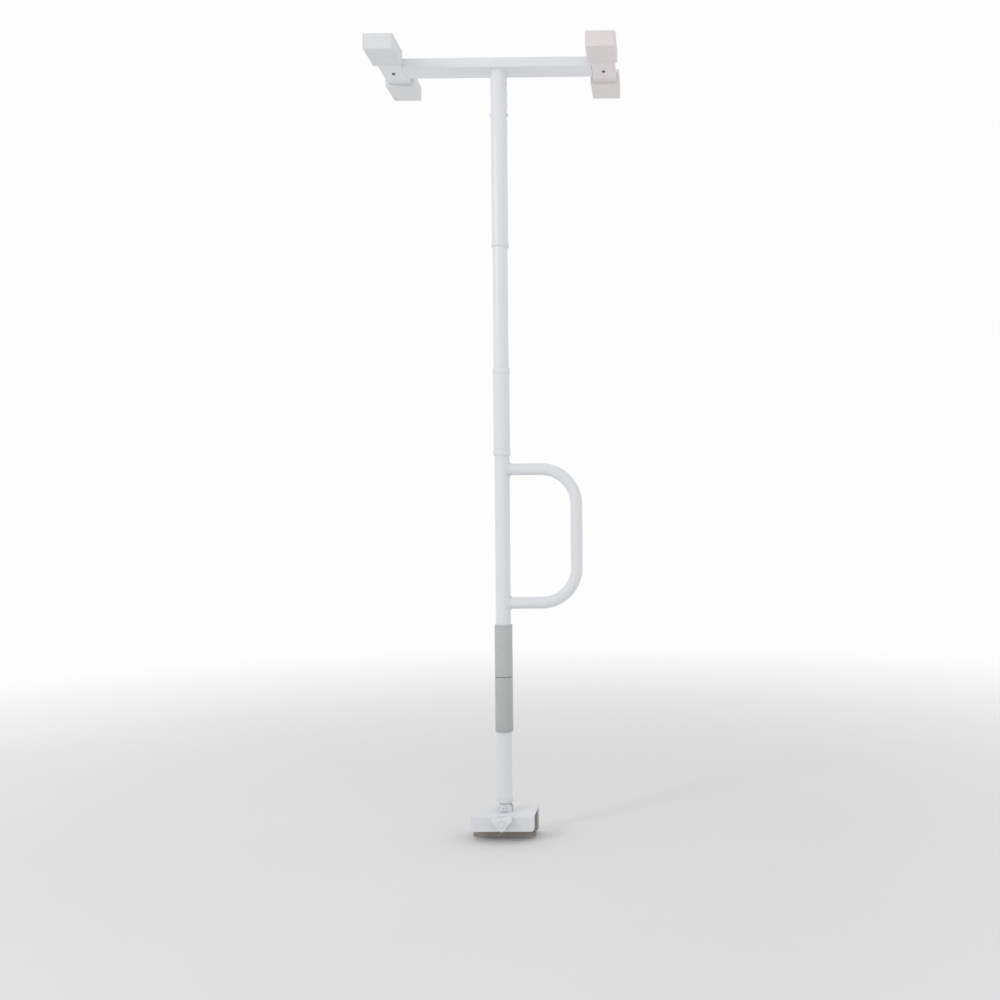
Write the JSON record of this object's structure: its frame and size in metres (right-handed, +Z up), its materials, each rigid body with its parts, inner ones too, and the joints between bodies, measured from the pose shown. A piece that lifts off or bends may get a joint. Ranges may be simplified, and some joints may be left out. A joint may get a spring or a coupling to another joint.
{
  "type": "bathtub grab pole",
  "caption": "Tension grab pole that clamps on a bathtub rim and jacks against the ceiling, with a D-shaped side handle, foam grips and a cross head with rubber boots.",
  "frame": {"origin": "on the pole axis, at the underside of the seat liner that rests on the rim", "axes": "+Z up the pole, +X towards the D-shaped handle, -Y towards the outside of the tub, where the clamp knob is"},
  "size_m": [0.609, 0.285, 1.981],
  "materials": {
    "white_paint": "white powder coat, semi-gloss",
    "white_knob": "moulded white nylon",
    "grey_foam": "closed-cell foam grip, matte grey",
    "white_rubber": "moulded non-marking rubber, matte",
    "dark_rubber": "ribbed dark rubber, matte",
    "zinc_steel": "zinc-plated steel",
    "spring_steel": "spring steel, oiled",
    "bronze": "sintered bronze",
    "nylon": "natural nylon"
  },
  "bodies": {
    "foot": {"saddle": "white_paint", "seat_liner": "dark_rubber", "rear_liner": "dark_rubber", "clamp_nut": "zinc_steel", "pivot_ear_front": "white_paint", "pivot_ear_rear": "white_paint", "pivot_bolt": "white_paint", "pivot_nut": "white_paint", "pivot_washers": "white_paint"},
    "clamp": {"pressure_plate": "zinc_steel", "clamp_pad": "dark_rubber", "screw_cup": "zinc_steel"},
    "knob": {"clamp_screw": "zinc_steel", "screw_clip": "spring_steel", "hand_knob": "white_knob", "knob_cap": "white_knob"},
    "swivel": {"swivel_eye": "white_paint", "thrust_washer": "nylon", "stud_clip": "spring_steel"},
    "lower_pole": {"foot_plug": "nylon", "foot_collar": "white_paint", "lower_tube": "white_paint", "guide_spacer": "nylon", "guide_tube": "zinc_steel", "rod_plug": "zinc_steel", "jack_rod": "zinc_steel", "rod_stop": "zinc_steel", "lower_grip": "grey_foam"},
    "upper_pole": {"handle_tube": "white_paint", "upper_grip": "grey_foam", "guide_bush": "nylon", "jack_nut": "bronze", "jack_nut_screws": "zinc_steel", "d_handle": "white_paint", "d_handle_welds": "white_paint", "coupler_sleeve": "white_paint", "coupler_screws": "zinc_steel", "coupler_ring_lower": "white_paint", "coupler_ring_upper": "white_paint", "extension_tube": "white_paint", "extension_cap": "nylon", "snap_bend": "spring_steel"},
    "snap_left": {"snap_leg_left": "spring_steel", "snap_button_left": "zinc_steel"},
    "snap_right": {"snap_leg_right": "spring_steel", "snap_button_right": "zinc_steel"},
    "head": {"stem_sleeve": "white_paint", "stem_ring": "white_paint", "stem_weld": "white_paint", "crossbar": "white_paint", "tongue_left": "zinc_steel", "tongue_right": "zinc_steel", "end_bar_left": "white_paint", "end_bar_right": "white_paint", "end_bolts": "zinc_steel", "boot_front_left": "white_rubber", "boot_front_right": "white_rubber", "boot_rear_left": "white_rubber", "boot_rear_right": "white_rubber"}
  },
  "joints": [
    {"name": "clamp_slide", "type": "slide", "parent": "foot", "child": "clamp", "axis": [0, 1, 0], "range_m": [-0.01, 0.002]},
    {"name": "knob_turn", "type": "hinge", "parent": "clamp", "child": "knob", "pos_m": [0, -0.05, -0.011], "axis": [0, 1, 0], "range_deg": [-902, 182]},
    {"name": "foot_tilt", "type": "hinge", "parent": "foot", "child": "swivel", "pos_m": [0, 0, 0.018], "axis": [0, 1, 0], "range_deg": [-5, 5]},
    {"name": "jack_turn", "type": "hinge", "parent": "swivel", "child": "lower_pole", "pos_m": [0, 0, 0.1], "axis": [0, 0, -1], "range_deg": [0, 2523]},
    {"name": "jack_lift", "type": "slide", "parent": "swivel", "child": "upper_pole", "axis": [0, 0, 1], "range_m": [0, 0.042]},
    {"name": "head_height", "type": "slide", "parent": "upper_pole", "child": "head", "axis": [0, 0, 1], "range_m": [-0.0762, 0.0762]},
    {"name": "snap_left_press", "type": "hinge", "parent": "upper_pole", "child": "snap_left", "pos_m": [-0.008, 0, 1.7], "axis": [0, 1, 0], "range_deg": [0, 2.7], "stiffness_Nm_per_rad": 8, "springref_deg": -1.15},
    {"name": "snap_right_press", "type": "hinge", "parent": "upper_pole", "child": "snap_right", "pos_m": [0.008, 0, 1.7], "axis": [0, -1, 0], "range_deg": [0, 2.7], "stiffness_Nm_per_rad": 8, "springref_deg": -1.15}
  ],
  "couplings": [
    {"joint": "knob_turn", "follows": "clamp_slide", "rad_per_m": 1570.8},
    {"joint": "jack_turn", "follows": "jack_lift", "rad_per_m": 1047.2}
  ]
}
